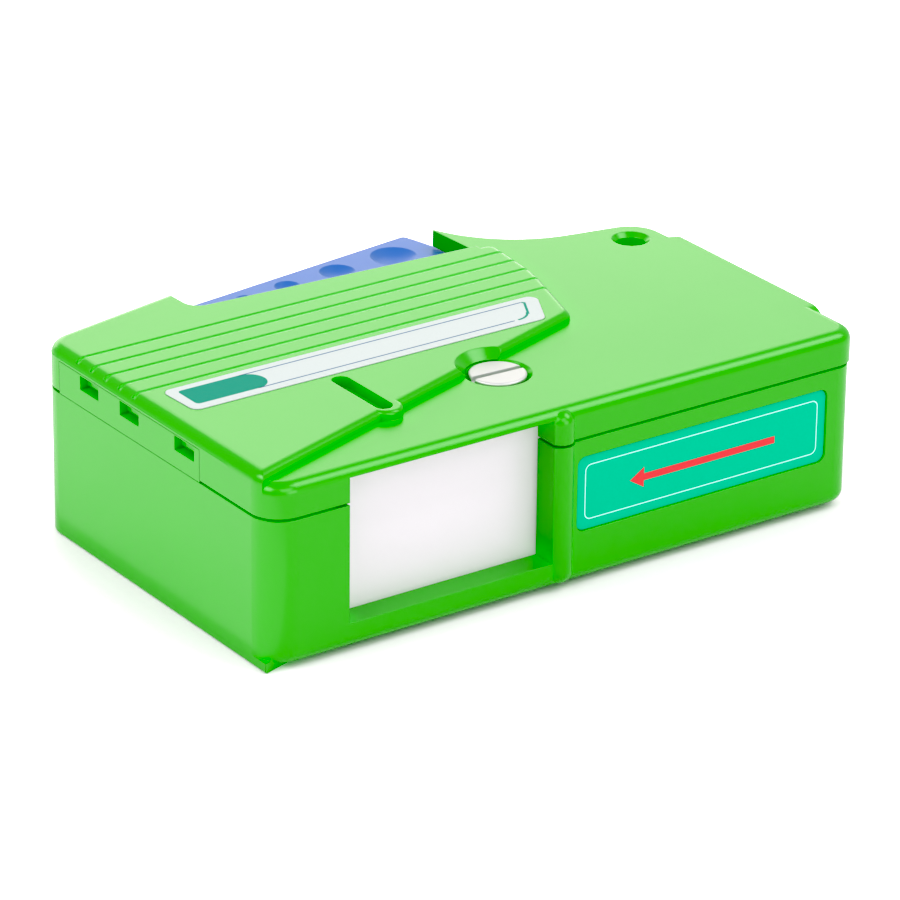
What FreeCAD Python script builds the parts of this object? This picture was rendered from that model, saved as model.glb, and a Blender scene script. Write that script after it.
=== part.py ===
import FreeCAD, Part
import math
import os

V = FreeCAD.Vector
os.makedirs("parts", exist_ok=True)

# Reel-type cleaner for fibre connectors: a hand-held box with a thumb lever on its
# rear side.  Pressing the lever slides a shutter away from the cleaning window and
# winds on a ribbon of cleaning tape.  Millimetres, X along the front, Y to the rear.

# ---- driving dimensions: housing ----
length = 114.5           # left end to right end of the cover
depth = 68.3             # front wall to the rear left corner
left_end = -57.5         # X of the left end; the origin lies on the foot below the gears
wall = 2.0
floor_top = 3.4          # inner floor of the case
parting = 25.3           # joint between case and cover
cover_top = 31.3         # low level of the cover
plateau = 1.6            # step up to the raised field
foot_step = 0.8          # step down to the foot
foot_front = 1.35        # the foot's diagonal edge lies this far before the field's
foot_top = 1.8           # it shows this high round the near left corner
foot_round = 0.5
foot_corner = 0.9
joint_gap = 0.35         # open shadow gap between case and cover skirt
skirt_step = 0.4         # cover stands proud of the case at the right end
left_corner = 5.1
right_corner = 4.0
edge_round = 2.0         # top edge of the cover
bottom_round = 2.0       # bottom edge of the case
end_round = 2.0          # left end edge of the raised field
round_stop_y = -25.0     # the rounded top edge runs this far up the right end ...
round_out = 3.5          # ... and the sharp edge behind it starts with this radius
plate = 2.0              # thickness of the cover's top plate
lip_height = 1.2         # rim of the case that stands inside the cover skirt
lip_inset = 0.95
lip_clear = 0.15
rail_y0 = -14.6          # hook rail in the left end of the cover skirt
rail_height_gap = 0.05
snap_windows = [(15.1, 20.6), (3.1, 8.65), (-13.0, -7.4)]
snap_z0 = 28.25
snap_z1 = 30.6
barb_z = 28.9
barb_thick = 1.0

# ---- driving dimensions: rear side ----
rear_slope = 12.0        # rear left edge, degrees to X
horn_x = -30.7           # right end of the rear left block
horn_round = 3.0
recess_left_y = 29.8     # cover edge over the lever, left and right
recess_right_y = 26.3
wing_x = 23.7
wing_y = 40.4
wing_tip = 0.15
wing_root_x = 24.4
bay_x = 29.0             # corner of the hollow flank of the wing
bay_y = 27.5
bay_round = 23.0
lobe_in = 1.9            # lobe round the lanyard hole, from the right end
lobe_y = 22.7
lobe_round = 5.6
flank_y = 14.4           # where the right end steps in
lanyard_in = 7.5
lanyard_y = 18.0
lanyard_r = 2.5
lanyard_sink = 0.8
lanyard_wall = 1.9

# ---- driving dimensions: raised field, grooves and labels ----
field_x = 19.9           # right-hand vertex of the raised field
field_y = -5.5
field_angle = 18.6       # its diagonal edge, degrees to X
step_round = 1.4         # top edge of the step
field_right_x = 26.7
field_rear_round = 2.0
groove_count = 5
groove_pitch = 4.2
groove_first_y = 5.3
groove_r = 0.4
top_label_x0 = -52.6
top_label_length = 67.1
top_label_slant = 4.7    # its right end leans this far to the right
top_label_y0 = -5.6
top_label_width = 9.1
label_thick = 0.2
label_sink = 0.1
label_round = 1.5
side_label_x0 = 0.35
side_label_in = 6.5     # from its right end to the cover's
side_label_z0 = 9.4
side_label_height = 12.9
side_label_sink = 0.5
sight_x = -27.0          # long blind slot in the raised field
sight_y0 = -21.4
sight_y1 = -6.6
sight_width = 3.0
sight_deep = 1.9
sight_rim = 1.4
sight_rim_round = 0.7

# ---- driving dimensions: window and shutter ----
window_x0 = -42.85
window_width = 38.55
window_z0 = 5.2
window_top_lip = 1.5     # cover left above the window
frame_deep = 4.5         # depth of the window's frame behind the front wall
frame_wall = 2.0
shutter_gap = 0.45
shutter_thick = 1.4
shutter_overlap = 0.9
shutter_z0 = 3.9
shutter_top_clear = 0.5
rib_r = 2.2              # rounded rib beside the window
rib_out = 1.1
rib_gap = 2.0
rib_end = 0.3

# ---- driving dimensions: lever ----
pivot_x = -40.0
pivot_y = 27.0
lever_angle = 7.66       # rest position, degrees to X
lever_travel = 13.2      # degrees
lever_outer = 11.1       # outer face, measured from the pivot
lever_inner = -2.4       # inner edge at the heel ...
lever_inner_end = -10.5  # ... and at the free end, under the cover
lever_reach = 65.5
lever_heel = 11.8        # left end of the blade from the pivot
lever_boss_r = 5.0
lever_pin_r = 1.5
lever_top = 28.1
lever_clear = 0.5
lever_skin = 2.2
lever_deck = 3.1         # thickness of its top plate
arm_top = 3.2            # upper edge of the arm beside the boss
slot_clear = 0.6         # between the lever's end and the wall it runs along
slot_left = 3.0          # the slot starts this far to the right of the pivot ...
slot_near = 8.0          # ... and in front of it, and runs up to slot_y at the free end
slot_y = 9.5
arm_room = 2.2           # behind the arm, for its swing
rib_u = [29.0, 47.0]     # ribs in the lever's hollow, from the pivot
rib_thick = 2.0
dimples = [(57.4, 5.6, 4.0, 1.2), (45.6, 6.6, 3.1, 1.0), (35.1, 7.3, 2.2, 0.8), (26.2, 7.7, 1.5, 0.6)]
spring_z = 22.0          # seat of the return spring on the lever's bearing
spring_wire = 0.4
spring_turns = 4
spring_pitch = 1.15
spring_leg = 7.0         # leg on the lever ...
spring_foot = 5.6        # ... and on the wall
pin_clear = 0.05

# ---- driving dimensions: gear train ----
module = 0.8
pinion_teeth = 10
wheel_teeth = 39
gear_x = -12.0
gear_thick = 1.6
gear_lift = 0.4          # running gap above the floor
pinion_height = 2.6
sector_thick = 1.8
gear_pin_r = 1.0
tooth_backlash = 0.24
rack_bar = 1.65
gear_web = 2.4           # left inside and outside the holes of the wheel
sector_hole_r = 4.0

# ---- driving dimensions: deck and tape ----
deck_z = 8.4
deck_thick = 1.0
reel_r = 16.5
flange = 0.8
flange_web = 1.8         # left each side of the windows in a flange
tape_width = 14.0
tape_gap = 0.2
take_up_x = -26.0
take_up_y = 1.5
supply_in = 21.0         # from the right end
supply_y = -8.5
hub_r = 6.0
take_up_roll_r = 9.0
supply_roll_r = 15.0
spindle_r = 2.0
ratchet_r = 9.0
ratchet_teeth = 20
ratchet_thick = 1.6
pawl_run = 7.0           # foot of the holding pawl, to the left of its tip ...
pawl_rise = 11.0         # ... and behind it
drag_reach = 9.0         # foot of the drag spring, to the right of the supply spindle
drag_foot = 4.0
drag_tip = 2.0           # its free end, to the left of the spindle
roller_r = 2.2
roller_pin_r = 0.8
left_roller_x = -45.5
right_roller_x = -3.0
web_thick = 0.2
web_clear = 0.15
mask_thick = 0.6
slot_height = 4.6
slot_length = 30.0
pad_thick = 2.4
pad_in = 3.0             # the pad ends this far inside the mask plate
backing_in = 1.9         # the same for the wall behind it
backing_thick = 1.6
channel = 0.95           # thickness of the channels that hold the mask plate
post_in = 7.5            # rows of deck posts, from the left end ...
post_in_right = 5.5      # ... and from the right
post_r = 2.5
deck_screw_r = 0.9

# ---- driving dimensions: cover screw ----
screw_x = -2.6
screw_y = -16.3
screw_head_r = 4.7
screw_head = 1.6
screw_r = 2.0
screw_slot = 1.1
screw_slot_deep = 1.0
screw_slot_turn = -2.6   # degrees to X when tight
screw_dish = 0.75        # chamfer round the pocket of its head
boss_r = 4.2
insert_r = 3.0
insert_length = 6.0
collar = 1.0             # collar of the cover over the boss, wider than it by this
collar_deep = 2.6
boss_gap = 0.2           # between boss and collar

# ---- values that follow ----
right_end = left_end + length
lobe_x = right_end - lobe_in
lanyard_x = right_end - lanyard_in
supply_x = right_end - supply_in
side_label_length = right_end - side_label_in - side_label_x0
deck_posts = [(left_end + post_in, 12.0), (left_end + post_in, -18.0), (10.0, 5.0),
              (right_end - post_in_right, 7.0)]
front = -depth / 2
beyond = 20.0            # how far cutting shapes run past the outline
field_top = cover_top + plateau
under_plate = cover_top - plate
case_top = parting - 0.06
skirt_z = parting + joint_gap
window_x1 = window_x0 + window_width
window_top = cover_top - window_top_lip
shutter_front = front + frame_deep + shutter_gap
shutter_back = shutter_front + shutter_thick
rack_line = shutter_back + rack_bar + 1.25 * module
wheel_r = module * wheel_teeth / 2
pinion_r = module * pinion_teeth / 2
gear_y = rack_line + wheel_r
sector_r = math.hypot(gear_x - pivot_x, gear_y - pivot_y) - pinion_r
gear_z = floor_top + gear_lift
deck_top = deck_z + deck_thick
ratchet_z = deck_top + 0.4
reel_z = ratchet_z + ratchet_thick
tape_z = reel_z + flange + tape_gap
tape_top = tape_z + tape_width
flange_z = tape_top + tape_gap
reel_top = flange_z + flange
mask_front = shutter_back + 0.3
web_front = mask_front + mask_thick + 0.1
web_back = web_front + web_thick
roller_y = web_back + web_clear + roller_r
slot_top = lever_top + 0.3
rib_x = window_x1 + rib_gap
rail_y1 = -front - left_corner - 2.0
mask_x0 = left_roller_x + roller_r + 1.6
mask_x1 = right_roller_x - roller_r - 1.2
screw_boss_top = under_plate - collar_deep - boss_gap
deck_back = flank_y - wall - 0.8


def box(x0, x1, y0, y1, z0, z1):
    return Part.makeBox(x1 - x0, y1 - y0, z1 - z0, V(x0, y0, z0))


def rod(r, x, y, z0, z1):
    return Part.makeCylinder(r, z1 - z0, V(x, y, z0))


def tube(r_out, r_in, x, y, z0, z1):
    return rod(r_out, x, y, z0, z1).cut(rod(r_in, x, y, z0 - 1, z1 + 1))


def cone(r0, r1, x, y, z0, z1):
    return Part.makeCone(r0, r1, z1 - z0, V(x, y, z0))


def fuse(shapes):
    body = shapes[0].multiFuse(shapes[1:])
    return body.removeSplitter()


def rounded_face(corners, z=0.0):
    """Flat face of a polygon whose corners (x, y, radius) are rounded by tangent arcs."""
    edges = []
    joints = []
    n = len(corners)
    for i in range(n):
        p = V(corners[i][0], corners[i][1], z)
        r = corners[i][2]
        a = (V(corners[i - 1][0], corners[i - 1][1], z) - p).normalize()
        b = (V(corners[(i + 1) % n][0], corners[(i + 1) % n][1], z) - p).normalize()
        if r <= 0:
            joints.append((p, None, p))
            continue
        half = math.acos(max(-1.0, min(1.0, a.dot(b)))) / 2
        reach = r / math.tan(half)
        middle = p + (a + b).normalize() * (r / math.sin(half) - r)
        joints.append((p + a * reach, middle, p + b * reach))
    for i in range(n):
        start, middle, end = joints[i]
        if middle is not None:
            edges.append(Part.Arc(start, middle, end).toShape())
        nxt = joints[(i + 1) % n][0]
        if (nxt - end).Length > 1e-4:
            edges.append(Part.LineSegment(end, nxt).toShape())
    return Part.Face(Part.Wire(edges))


def prism(corners, z0, z1):
    return rounded_face(corners, z0).extrude(V(0, 0, z1 - z0))


def turned(shape, degrees, x, y):
    shape.rotate(V(x, y, 0), V(0, 0, 1), degrees)
    return shape


def save(name, shape):
    shape.exportStep("parts/" + name + ".step")
    print(name, len(shape.Solids), round(shape.Volume, 1), shape.isValid())


# ---- plan outlines of the housing ----
def rear_left_y(x, inset=0.0):
    """Y of the sloping rear left edge at x, moved in by inset."""
    slope = math.tan(math.radians(rear_slope))
    rise = (x - left_end) * slope
    return -front - 2.0 + rise - inset / math.cos(math.radians(rear_slope))


def outer_plan(trim=0.0, near_corner=left_corner):
    right = right_end - trim
    return [
        (left_end, front, near_corner),
        (right, front, right_corner),
        (right, flank_y, 0.5),
        (lobe_x + 0.1, flank_y + 0.7, 0.4),
        (lobe_x, lobe_y, lobe_round),
        (bay_x, bay_y, bay_round),
        (wing_x, wing_y, wing_tip),
        (wing_root_x, recess_right_y, 0.8),
        (horn_x + 0.15, recess_left_y, horn_round),
        (horn_x, rear_left_y(horn_x), 1.0),
        (left_end, rear_left_y(left_end), left_corner),
    ]


def cavity_plan(trim=0.0):
    right = right_end - trim - wall
    return [
        (left_end + wall, front + wall, left_corner - wall),
        (right, front + wall, right_corner - wall),
        (right, flank_y - wall, 0.6),
        (lobe_x - wall, flank_y - wall + 1.2, 0.6),
        (lobe_x - wall, lobe_y - 0.9 * wall, lobe_round - wall),
        (bay_x + 10.0, bay_y - 1.7 * wall, 8.0),
        (bay_x + 0.6, bay_y + 2.2, 1.0),
        (bay_x - 0.4, recess_right_y - 1.5 * wall, 0.6),
        (horn_x + 2.2, recess_left_y - wall, 1.5),
        (horn_x - wall, rear_left_y(horn_x - wall, wall) - 3.0, 1.0),
        (horn_x - wall, rear_left_y(horn_x - wall, wall), 1.0),
        (left_end + wall, rear_left_y(left_end + wall, wall), left_corner - wall),
    ]


def field_plan(back=0.0, inset=0.0):
    """Raised field: the diagonal edge, a bowed right edge, then past the outline."""
    slope = math.tan(math.radians(field_angle))
    far = left_end - beyond
    past = wing_y + beyond
    near = field_y + back
    return [
        (far, near - (field_x - far) * slope, 0),
        (field_x - inset, near - inset * slope, 2.6),
        (field_right_x - 1.4 - inset, 12.0, 40.0),
        (field_right_x - inset, recess_right_y, field_rear_round),
        (wing_root_x - 1.0, recess_right_y, 0),
        (wing_root_x - 1.0, past, 0),
        (far, past, 0),
    ]


def round_edges(shape, radius, wanted):
    edges = [e for e in shape.Edges if wanted(e)]
    return shape.makeFillet(radius, edges) if edges else shape


def middle_of(edge):
    a = edge.FirstParameter
    b = edge.LastParameter
    return edge.valueAt((a + b) / 2)


def at_height(edge, z):
    box_ = edge.BoundBox
    return abs(box_.ZMin - z) < 1e-3 and abs(box_.ZMax - z) < 1e-3


# ---- lever plan in its own frame: u along the outer face, v outwards, pivot at 0,0 ----
def lever_place(shape):
    shape.rotate(V(0, 0, 0), V(0, 0, 1), lever_angle)
    shape.translate(V(pivot_x, pivot_y, 0))
    return shape


def lever_slot(z0, z1):
    """Room that the lever sweeps through the rear side, closed by an arc about the pivot."""
    reach = lever_reach + slot_clear
    room = prism([
        (pivot_x + slot_left, pivot_y + arm_top + arm_room, 0),
        (horn_x + 0.5, pivot_y + arm_top + arm_room, 0),
        (horn_x + 0.5, wing_y + beyond, 0),
        (wing_x + beyond, wing_y + beyond, 0),
        (wing_x + beyond, slot_y, 0),
        (pivot_x + slot_left, pivot_y - slot_near, 0),
    ], z0, z1)
    return room.common(rod(reach, pivot_x, pivot_y, z0, z1))


def guard_wall(z0, z1):
    """Curved wall of the wing that the end of the lever runs along."""
    inner = lever_reach + slot_clear
    ring = tube(inner + wall, inner, pivot_x, pivot_y, z0, z1)
    keep = box(wing_x - 1.0, wing_x + beyond, flank_y, wing_y + beyond, z0, z1)
    return ring.common(keep).common(prism(outer_plan(), z0, z1))


def lip_plan(inset):
    right = right_end - skirt_step - inset
    return [
        (left_end + inset, front + inset, left_corner - inset),
        (right, front + inset, right_corner - inset),
        (right, flank_y - inset, 0.6),
        (left_end + inset, flank_y - inset, 0.6),
    ]


def rounded_rib(z0, z1, domed_at):
    """Half-round rib beside the window, domed round the height domed_at."""
    y = front + rib_r - rib_out
    rib = rod(rib_r, rib_x, y, z0, z1).fuse(Part.makeSphere(rib_r, V(rib_x, y, domed_at)))
    return rib.common(box(rib_x - 2 * rib_r, rib_x + 2 * rib_r, front - 2 * rib_r, front + 0.7,
                          0, cover_top))


# ---- lower case ----
def build_lower_case():
    plan = outer_plan(skirt_step)
    right = right_end - skirt_step
    soft = prism([
        (left_end, front, left_corner),
        (right, front, right_corner),
        (right, -front * 2, 0),
        (left_end, -front * 2, 0),
    ], foot_step, case_top)
    soft = round_edges(soft, bottom_round, lambda e: at_height(e, foot_step)
                       and middle_of(e).y < -front)
    body = prism(plan, foot_step, case_top).common(soft)
    foot = prism([
        (left_end, front, foot_corner),
        (right, front, 0),
        (right, rear_left_y(right), 0),
        (left_end, rear_left_y(left_end), left_corner),
    ], 0, foot_top)
    foot = round_edges(foot, foot_round, lambda e: at_height(e, 0)
                       and middle_of(e).x < right - 1.0)
    foot = foot.common(prism(field_plan(-foot_front), 0, foot_top)).common(
        prism(outer_plan(skirt_step, foot_corner), 0, foot_top))
    heel = prism(field_plan(-foot_front), foot_step, floor_top).common(
        prism(plan, foot_step, floor_top))
    body = body.fuse(foot).fuse(heel)
    cavity = prism(cavity_plan(skirt_step), floor_top, case_top + 5)
    body = body.cut(cavity)
    rim = prism(lip_plan(lip_inset), case_top - 0.5, case_top + lip_height).cut(
        prism(cavity_plan(skirt_step), case_top - 1, case_top + 5))
    rim = rim.cut(box(left_end - 1, left_end + 6, rail_y0 - 0.3, -front, case_top, case_top + 5))
    rim = rim.cut(box(window_x0 - frame_wall - 0.2, window_x1 + frame_wall + 0.2, front - 1,
                      front + 8, case_top, case_top + 5))
    body = body.fuse(rim)
    body = body.fuse(guard_wall(floor_top - 0.5, case_top))
    body = body.cut(lever_slot(floor_top + 0.5, case_top + 5))
    # window: frame inside the wall, then the opening through both
    frame = box(window_x0 - frame_wall, window_x1 + frame_wall, front + wall / 2,
                front + frame_deep, floor_top - 0.5, case_top)
    body = body.fuse(frame)
    body = body.fuse(box(window_x1, window_x1 + window_width + 2.0, front + frame_deep - 1.5,
                         front + frame_deep, floor_top - 0.5, window_z0))
    # rounded rib beside the window, domed at its lower end
    dome_z = foot_step + rib_end + rib_r
    body = body.fuse(rounded_rib(dome_z, case_top, dome_z))
    body = body.cut(box(window_x0, window_x1, front - 3, front + frame_deep + 1,
                        window_z0, case_top + 5))
    # recess for the arrow label
    recess = rounded_face([
        (side_label_x0, side_label_z0, label_round),
        (side_label_x0 + side_label_length, side_label_z0, label_round),
        (side_label_x0 + side_label_length, side_label_z0 + side_label_height, label_round),
        (side_label_x0, side_label_z0 + side_label_height, label_round),
    ]).extrude(V(0, 0, side_label_sink + 1))
    recess.rotate(V(0, 0, 0), V(1, 0, 0), 90)
    recess.translate(V(0, front + side_label_sink, 0))
    body = body.cut(recess)
    # bosses: lever pin, gear pin, deck posts, lanyard tube
    body = body.fuse(rod(lever_pin_r + 1.6, pivot_x, pivot_y, floor_top - 0.5, gear_z - 0.1))
    for x, y in deck_posts:
        body = body.fuse(rod(post_r, x, y, floor_top - 0.5, deck_z))
    body = body.fuse(rod(lanyard_r + lanyard_wall, lanyard_x, lanyard_y, floor_top - 0.5, case_top))
    body = body.cut(rod(lever_pin_r, pivot_x, pivot_y, foot_step, case_top))
    body = body.cut(rod(gear_pin_r, gear_x, gear_y, foot_step, case_top))
    for x, y in deck_posts:
        body = body.cut(rod(deck_screw_r, x, y, floor_top + 0.6, deck_z + 1))
    body = body.cut(rod(lanyard_r, lanyard_x, lanyard_y, -1, case_top + 5))
    body = body.cut(cone(lanyard_r + lanyard_sink, lanyard_r, lanyard_x, lanyard_y,
                         foot_step, foot_step + lanyard_sink))
    return body.removeSplitter()


# ---- top cover ----
def build_top_cover():
    plan = outer_plan()
    soft = prism([
        (left_end, front, left_corner),
        (right_end, front, right_corner),
        (right_end, round_stop_y + round_out + 1.0, 0),
        (left_end, round_stop_y + round_out + 1.0, 0),
    ], skirt_z, cover_top)
    soft = round_edges(soft, edge_round, lambda e: at_height(e, cover_top)
                       and middle_of(e).y < round_stop_y + round_out + 0.9)
    behind = box(left_end, right_end, round_stop_y, -front * 2, skirt_z, cover_top)
    behind = round_edges(behind, round_out, lambda e: at_height(e, cover_top)
                         and abs(middle_of(e).y - round_stop_y) < 0.1)
    base = prism(plan, skirt_z, cover_top).common(soft.fuse(behind))
    low = under_plate - 0.5
    far = right_end + beyond
    crown = prism([
        (left_end, front, left_corner),
        (far, front, 0),
        (far, rear_left_y(far), 0),
        (left_end, rear_left_y(left_end), left_corner),
    ], low, field_top)
    crown = round_edges(crown, end_round, lambda e: at_height(e, field_top)
                        and middle_of(e).x < far - 1.0)
    field = prism(plan, low, field_top).common(crown)
    step = prism(field_plan(), low, field_top)
    step = round_edges(step, step_round, lambda e: at_height(e, field_top)
                       and middle_of(e).y < recess_right_y and middle_of(e).x > left_end - beyond)
    cover = base.fuse(field.common(step))
    # rim of the blind slot stands out of the diagonal edge
    r = sight_width / 2
    rim = rod(r + sight_rim, sight_x + 0.3, sight_y0 + r, cover_top - 1, field_top)
    cover = cover.fuse(round_edges(rim, sight_rim_round, lambda e: at_height(e, field_top)))
    # hollow underside
    cavity = prism(cavity_plan(), skirt_z - 1, under_plate)
    raised = prism(cavity_plan(), under_plate - 1, under_plate + plateau).common(
        prism(field_plan(2.2 * wall, wall), under_plate - 1, under_plate + plateau))
    cover = cover.cut(cavity).cut(raised)
    lip_room = prism(lip_plan(lip_inset - lip_clear), skirt_z - 1, case_top + lip_height + lip_clear)
    cover = cover.cut(lip_room)
    # window frame above the joint
    frame = box(window_x0 - frame_wall, window_x1 + frame_wall, front + wall / 2,
                front + frame_deep, case_top + lip_height + 0.3, cover_top - 0.5)
    cover = cover.fuse(frame)
    dome_z = cover_top - rib_end - rib_r
    cover = cover.fuse(rounded_rib(skirt_z, dome_z, dome_z))
    cover = cover.fuse(box(window_x0 - frame_wall, window_x0, front + 0.5, front + frame_deep,
                           skirt_z, case_top + lip_height + 0.5))
    cover = cover.fuse(box(window_x1, window_x1 + frame_wall, front + 0.5, front + frame_deep,
                           skirt_z, case_top + lip_height + 0.5))
    cover = cover.cut(box(window_x0, window_x1, front - 3, front + frame_deep + 1,
                          skirt_z - 1, window_top))
    # guide ribs for the top edge of the shutter
    travel = window_width + 2.0
    for y0, y1 in ((front + frame_deep - 1.5, front + frame_deep),
                   (shutter_back + 0.2, shutter_back + 1.5)):
        x0 = window_x0 - frame_wall
        z0 = under_plate - 1.6
        if y0 < shutter_front:
            x0 = window_x1
        cover = cover.fuse(box(x0, window_x1 + travel, y0, y1, z0, cover_top - 1.0))
    # open side for the lever, with the curved wall of the wing
    cover = cover.fuse(guard_wall(skirt_z, cover_top - 0.5))
    cover = cover.cut(lever_slot(skirt_z - 1, slot_top))
    # the left skirt is the hook rail's
    cover = cover.cut(box(left_end - 1, left_end + wall + 0.1, rail_y0, rail_y1,
                          skirt_z - 1, field_top - end_round))
    for y0, y1 in snap_windows:
        stem = box(left_end + wall + 0.15, left_end + wall + 1.35, y0 + 0.4, y1 - 0.4,
                   barb_z, under_plate + plateau + 0.3)
        barb = box(left_end + wall - 0.9, left_end + wall + 1.3, y0 + 0.4, y1 - 0.4,
                   barb_z, barb_z + barb_thick)
        cover = cover.fuse(stem).fuse(barb)
    # bosses
    cover = cover.fuse(rod(boss_r + collar, screw_x, screw_y, screw_boss_top + boss_gap,
                           cover_top - 0.5))
    cover = cover.fuse(rod(lever_pin_r + 1.6, pivot_x, pivot_y, slot_top, field_top - 0.5))
    cover = cover.fuse(rod(lanyard_r + lanyard_wall, lanyard_x, lanyard_y, skirt_z, cover_top - 0.5))
    cover = cover.cut(rod(lever_pin_r, pivot_x, pivot_y, skirt_z, field_top - 1.4))
    cover = cover.cut(rod(lanyard_r, lanyard_x, lanyard_y, 0, cover_top + 5))
    cover = cover.cut(cone(lanyard_r, lanyard_r + lanyard_sink, lanyard_x, lanyard_y,
                           cover_top - lanyard_sink, cover_top))
    # pocket for the screw head, opening into the raised field
    seat = cover_top - screw_head
    cover = cover.cut(rod(screw_head_r + 0.15, screw_x, screw_y, seat, field_top + 1))
    cover = cover.cut(cone(screw_head_r + 0.3, screw_head_r + 2.2, screw_x, screw_y,
                           cover_top - 0.1, field_top + 0.01))
    cover = cover.cut(cone(screw_head_r + 0.15, screw_head_r + 0.15 + screw_dish, screw_x, screw_y,
                           cover_top - screw_dish, cover_top))
    cover = cover.cut(rod(screw_r + 0.3, screw_x, screw_y, 0, seat + 1))
    # blind slot
    sight = prism([
        (sight_x - r, sight_y0, r - 0.01),
        (sight_x + r, sight_y0, r - 0.01),
        (sight_x + r, sight_y1, r - 0.01),
        (sight_x - r, sight_y1, r - 0.01),
    ], field_top - sight_deep, field_top + 1)
    cover = cover.fuse(box(sight_x - r - 1, sight_x + r + 1, sight_y0 - 0.5, sight_y1 + 1,
                           under_plate - 0.2, under_plate + plateau + 0.2))
    cover = cover.cut(sight)
    # grooves run along X and dip over the rounded left end
    for i in range(groove_count):
        y = groove_first_y + i * groove_pitch
        a = math.radians(55)
        c = V(left_end + end_round, y, field_top - end_round)
        top = V(left_end + end_round, y, field_top)
        mid = c + V(-math.sin(a / 2), 0, math.cos(a / 2)) * end_round
        end = c + V(-math.sin(a), 0, math.cos(a)) * end_round
        path = Part.Wire([Part.LineSegment(V(field_right_x + 4, y, field_top), top).toShape(),
                          Part.Arc(top, mid, end).toShape()])
        ring = Part.Wire(Part.makeCircle(groove_r, V(field_right_x + 4, y, field_top), V(1, 0, 0)))
        cover = cover.cut(path.makePipeShell([ring], True, False))
    # seat of the top label
    cover = cover.cut(top_label_solid(field_top - label_sink, field_top + 1, 0.05))
    return cover.removeSplitter()


def top_label_solid(z0, z1, grow=0.0):
    x0 = top_label_x0 - grow
    x1 = top_label_x0 + top_label_length + grow
    y0 = top_label_y0 - grow
    y1 = top_label_y0 + top_label_width + grow
    return prism([(x0, y0, label_round), (x1, y0, label_round),
                  (x1 + top_label_slant, y1, label_round), (x0 - 0.4, y1, label_round)], z0, z1)


def build_hook_rail():
    rail = box(left_end, left_end + wall, rail_y0 + 0.08, rail_y1 - 0.05,
               parting, field_top - end_round - rail_height_gap)
    for y0, y1 in snap_windows:
        rail = rail.cut(box(left_end - 1, left_end + wall + 1, y0, y1, snap_z0, snap_z1))
    return rail


def build_side_label():
    label = rounded_face([
        (side_label_x0 + 0.1, side_label_z0 + 0.1, label_round),
        (side_label_x0 + side_label_length - 0.1, side_label_z0 + 0.1, label_round),
        (side_label_x0 + side_label_length - 0.1, side_label_z0 + side_label_height - 0.1, label_round),
        (side_label_x0 + 0.1, side_label_z0 + side_label_height - 0.1, label_round),
    ]).extrude(V(0, 0, label_thick))
    label.rotate(V(0, 0, 0), V(1, 0, 0), 90)
    label.translate(V(0, front + side_label_sink, 0))
    return label


# ---- lever ----
def build_lever():
    z0 = floor_top + lever_clear + 0.1
    reach = lever_reach
    blade = prism([
        (lever_heel, lever_inner, 0),
        (reach, lever_inner_end, 0),
        (reach + 5, lever_inner_end, 0),
        (reach + 5, lever_outer, 0),
        (lever_heel, lever_outer, 3.0),
    ], z0, lever_top).common(rod(reach, 0, 0, z0, lever_top))
    # the end corner of the outer face is eased
    tip_u = math.sqrt(reach ** 2 - lever_outer ** 2)
    blade = round_edges(blade, 0.8, lambda e: abs(middle_of(e).x - tip_u) < 0.05
                        and abs(middle_of(e).y - lever_outer) < 0.05)
    # two ribs divide the hollow behind the outer face
    start = lever_heel + lever_skin + 2.0
    for u in rib_u + [reach - 3.2]:
        blade = blade.cut(box(start, u, lever_inner_end - 1, lever_outer - lever_skin,
                              z0 + lever_skin, lever_top - lever_deck))
        start = u + rib_thick
    arm_z = gear_z + pinion_height + 1.8
    arm = box(0, lever_heel + lever_skin, lever_inner, arm_top, arm_z, lever_top)
    boss = rod(lever_boss_r, 0, 0, arm_z, lever_top)
    lever = blade.fuse(arm).fuse(boss)
    # room for the return spring above the bearing
    lever = lever.cut(rod(lever_boss_r + 0.01, 0, 0, spring_z, lever_top + 1))
    lever = lever.cut(rod(lever_pin_r + pin_clear, 0, 0, 0, lever_top + 1))
    # key of the sector gear
    lever = lever.cut(box(-2.1, 2.1, -lever_boss_r, -lever_pin_r - 0.9, arm_z - 1, arm_z + 1.6))
    # four shallow thumb dimples, smaller towards the pivot
    for u, v, r, deep in dimples:
        ball = (r * r + deep * deep) / (2 * deep)
        lever = lever.cut(Part.makeSphere(ball, V(u, v, lever_top - deep + ball)))
    return lever_place(lever.removeSplitter())


def gear_teeth(teeth, m, z0, z1, cx, cy, phase, spread=None, root_lean=20.0):
    """Root radius and teeth of a spur gear; phase turns a tooth to that angle."""
    pitch_r = m * teeth / 2
    root = pitch_r - 1.25 * m
    tip = pitch_r + m
    half_pitch = math.pi * m / 4 - tooth_backlash / 2
    first = 0
    count = int(round(teeth))
    step = 360.0 / teeth
    if spread:
        first = int(math.ceil((spread[0] - phase) / step))
        count = int(math.floor((spread[1] - phase) / step)) - first + 1
    solids = []
    for k in range(first, first + count):
        base = half_pitch + 1.25 * m * math.tan(math.radians(root_lean))
        top = half_pitch - m * math.tan(math.radians(20))
        pts = [V(root - 0.3, -base, z0), V(root, -base, z0), V(pitch_r, -half_pitch, z0),
               V(tip, -top, z0), V(tip, top, z0), V(pitch_r, half_pitch, z0),
               V(root, base, z0), V(root - 0.3, base, z0)]
        tooth = Part.Face(Part.makePolygon(pts + [pts[0]])).extrude(V(0, 0, z1 - z0))
        tooth.rotate(V(0, 0, 0), V(0, 0, 1), phase + k * step)
        tooth.translate(V(cx, cy, 0))
        solids.append(tooth)
    return root, solids


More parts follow.
